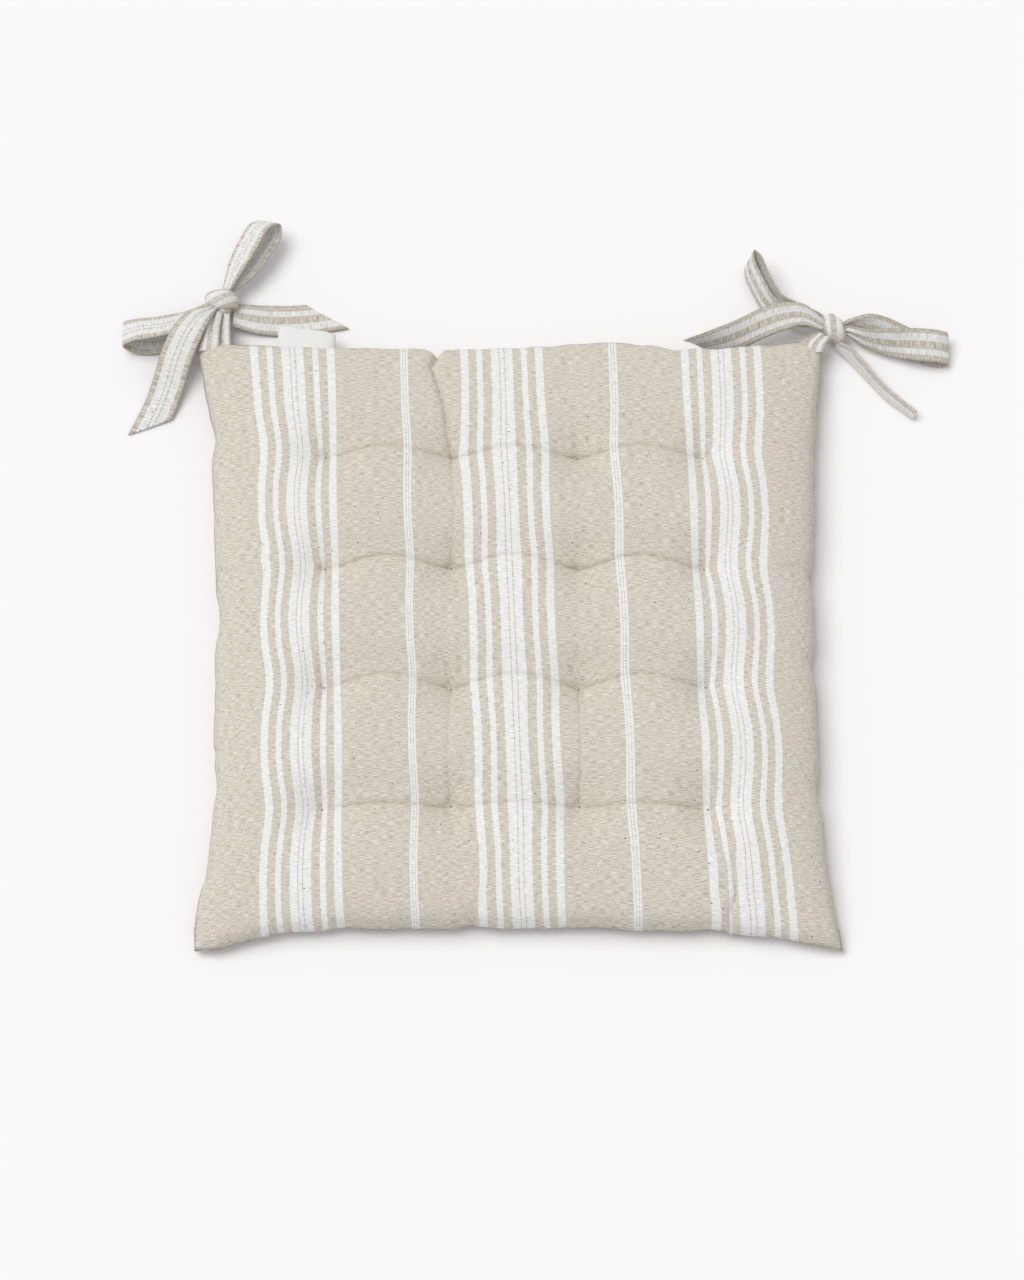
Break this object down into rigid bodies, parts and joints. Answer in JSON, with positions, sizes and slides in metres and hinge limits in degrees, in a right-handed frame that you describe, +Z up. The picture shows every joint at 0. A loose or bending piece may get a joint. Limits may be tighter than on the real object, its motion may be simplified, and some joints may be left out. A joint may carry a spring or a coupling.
{
  "type": "chair seat pad",
  "caption": "Square tufted seat pad in striped linen with tie straps at its two rear corners, knotted in bows, to keep it on a chair.",
  "frame": {"origin": "centre of the underside, on the surface that the pad lies on", "axes": "+Z up through the pad, +Y towards the rear edge with the ties, +X to the right seen from the front"},
  "size_m": [0.5316, 0.4946, 0.041],
  "materials": {
    "striped_linen": "woven beige linen with white stripes",
    "tie_linen": "the same striped linen, folded and edge stitched",
    "wadding": "loose white fibre",
    "sewing_thread": "twisted thread",
    "label_tape": "smooth woven tape"
  },
  "bodies": {
    "pad": {"cover_top": "striped_linen", "cover_bottom": "striped_linen", "filling": "wadding", "seam_thread": "sewing_thread", "tuft_1_1": "sewing_thread", "tuft_1_2": "sewing_thread", "tuft_1_3": "sewing_thread", "tuft_1_4": "sewing_thread", "tuft_2_1": "sewing_thread", "tuft_2_2": "sewing_thread", "tuft_2_3": "sewing_thread", "tuft_2_4": "sewing_thread", "tuft_3_1": "sewing_thread", "tuft_3_2": "sewing_thread", "tuft_3_3": "sewing_thread", "tuft_3_4": "sewing_thread", "tuft_4_1": "sewing_thread", "tuft_4_2": "sewing_thread", "tuft_4_3": "sewing_thread", "tuft_4_4": "sewing_thread"},
    "label_flap": {"label": "label_tape"},
    "left_tie": {"left_upper_stem": "tie_linen", "left_lower_stem": "tie_linen", "left_knot": "tie_linen"},
    "left_rear_loop": {"left_rear_loop": "tie_linen"},
    "left_side_loop": {"left_side_loop": "tie_linen"},
    "left_long_tail": {"left_long_tail": "tie_linen"},
    "left_short_tail": {"left_short_tail": "tie_linen"},
    "right_tie": {"right_upper_stem": "tie_linen", "right_lower_stem": "tie_linen", "right_knot": "tie_linen"},
    "right_rear_loop": {"right_rear_loop": "tie_linen"},
    "right_side_loop": {"right_side_loop": "tie_linen"},
    "right_long_tail": {"right_long_tail": "tie_linen"},
    "right_short_tail": {"right_short_tail": "tie_linen"}
  },
  "joints": [
    {"name": "label_lift", "type": "hinge", "parent": "pad", "child": "label_flap", "pos_m": [-0.1335, 0.1996, 0.017], "axis": [1, 0, 0], "range_deg": [-10, 80]},
    {"name": "left_tie_lift", "type": "hinge", "parent": "pad", "child": "left_tie", "pos_m": [-0.192, 0.2012, 0.017], "axis": [1, 0, 0], "range_deg": [0, 40]},
    {"name": "left_rear_loop_lift", "type": "hinge", "parent": "left_tie", "child": "left_rear_loop", "pos_m": [-0.189, 0.235, 0.01], "axis": [0.8733, -0.4872, 0], "range_deg": [0, 40]},
    {"name": "left_side_loop_hang", "type": "hinge", "parent": "left_tie", "child": "left_side_loop", "pos_m": [-0.189, 0.235, 0.01], "axis": [1, 0, 0], "range_deg": [-40, 0]},
    {"name": "left_long_tail_lift", "type": "hinge", "parent": "left_side_loop", "child": "left_long_tail", "pos_m": [-0.189, 0.235, 0.01], "axis": [-0.8879, 0.46, 0], "range_deg": [0, 45]},
    {"name": "left_short_tail_lift", "type": "hinge", "parent": "left_tie", "child": "left_short_tail", "pos_m": [-0.189, 0.235, 0.01], "axis": [-0.05, -0.9987, 0], "range_deg": [0, 45]},
    {"name": "right_tie_lift", "type": "hinge", "parent": "pad", "child": "right_tie", "pos_m": [0.192, 0.2012, 0.017], "axis": [1, 0, 0], "range_deg": [0, 40]},
    {"name": "right_rear_loop_lift", "type": "hinge", "parent": "right_tie", "child": "right_rear_loop", "pos_m": [0.2045, 0.216, 0.01], "axis": [0.2, 0.9798, 0], "range_deg": [0, 30]},
    {"name": "right_short_tail_lift", "type": "hinge", "parent": "right_rear_loop", "child": "right_short_tail", "pos_m": [0.2045, 0.216, 0.01], "axis": [-0.2399, 0.9708, 0], "range_deg": [0, 35]},
    {"name": "right_side_loop_lift", "type": "hinge", "parent": "right_tie", "child": "right_side_loop", "pos_m": [0.2045, 0.216, 0.01], "axis": [-0.172, -0.9851, 0], "range_deg": [0, 40]},
    {"name": "right_long_tail_hang", "type": "hinge", "parent": "right_tie", "child": "right_long_tail", "pos_m": [0.2045, 0.216, 0.01], "axis": [1, 0, 0], "range_deg": [-40, 0]}
  ],
  "couplings": [
    {"joint": "left_side_loop_hang", "follows": "left_tie_lift", "ratio": -1},
    {"joint": "right_long_tail_hang", "follows": "right_tie_lift", "ratio": -1}
  ]
}
